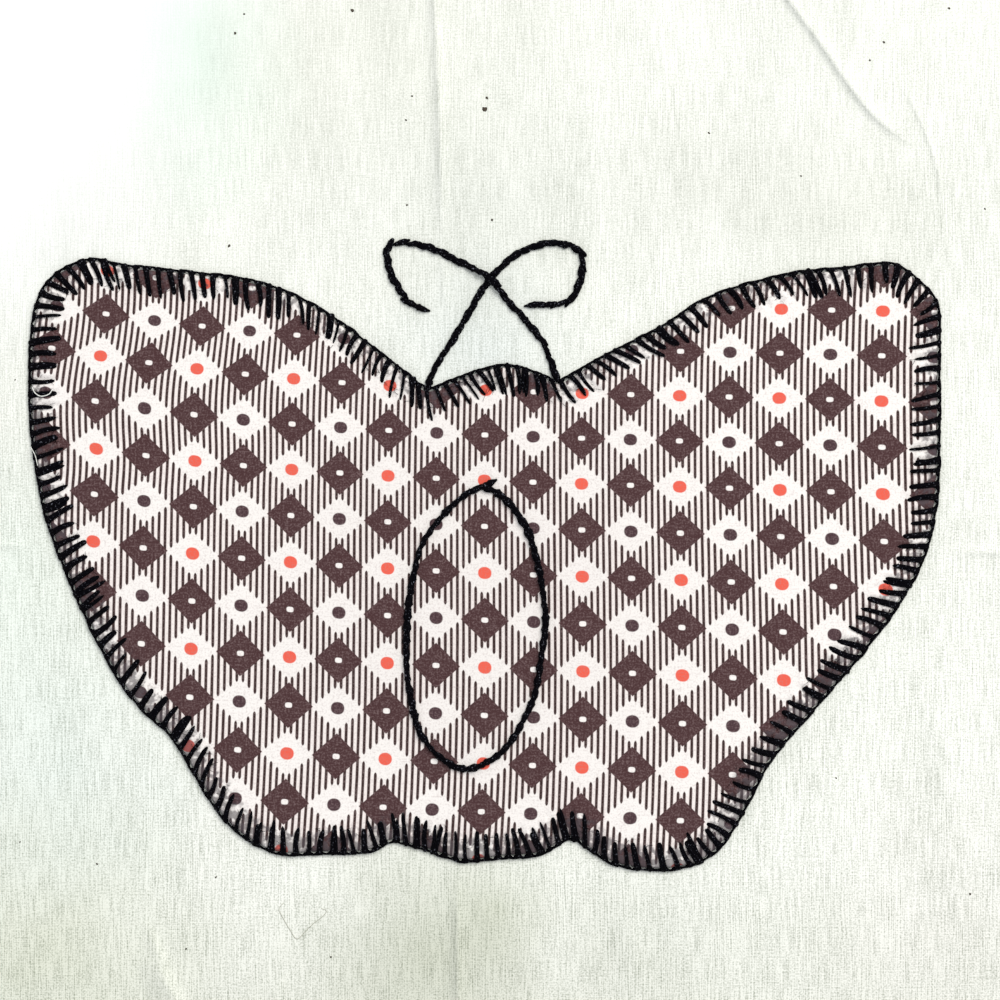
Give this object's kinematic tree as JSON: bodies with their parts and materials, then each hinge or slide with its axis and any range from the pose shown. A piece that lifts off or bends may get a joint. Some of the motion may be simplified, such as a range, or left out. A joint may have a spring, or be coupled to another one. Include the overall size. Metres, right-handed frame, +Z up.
{
  "type": "embroidered quilt square",
  "caption": "Square of white cotton muslin lying flat, with a butterfly of dotted bias-check cotton held by black blanket stitch, stem-stitched antennae and an oval body.",
  "frame": {"origin": "middle of the square, on the surface that it lies on", "axes": "+Z up out of the cloth's face, +Y towards the butterfly's antennae, +X to the right as seen from above"},
  "size_m": [0.254, 0.254, 0.0033],
  "materials": {
    "muslin": "plain-woven white cotton muslin, matt, lightly creased and stained",
    "printed_cotton": "plain-woven dress cotton printed with a brown and white bias check, pinstripes and coral dots",
    "black_floss": "six-strand cotton embroidery floss, soft sheen"
  },
  "bodies": {
    "root": {"ground_square": "muslin", "butterfly_applique": "printed_cotton", "blanket_stitch_edge": "black_floss", "antenna_left": "black_floss", "antenna_right": "black_floss", "body_oval": "black_floss"}
  },
  "joints": []
}
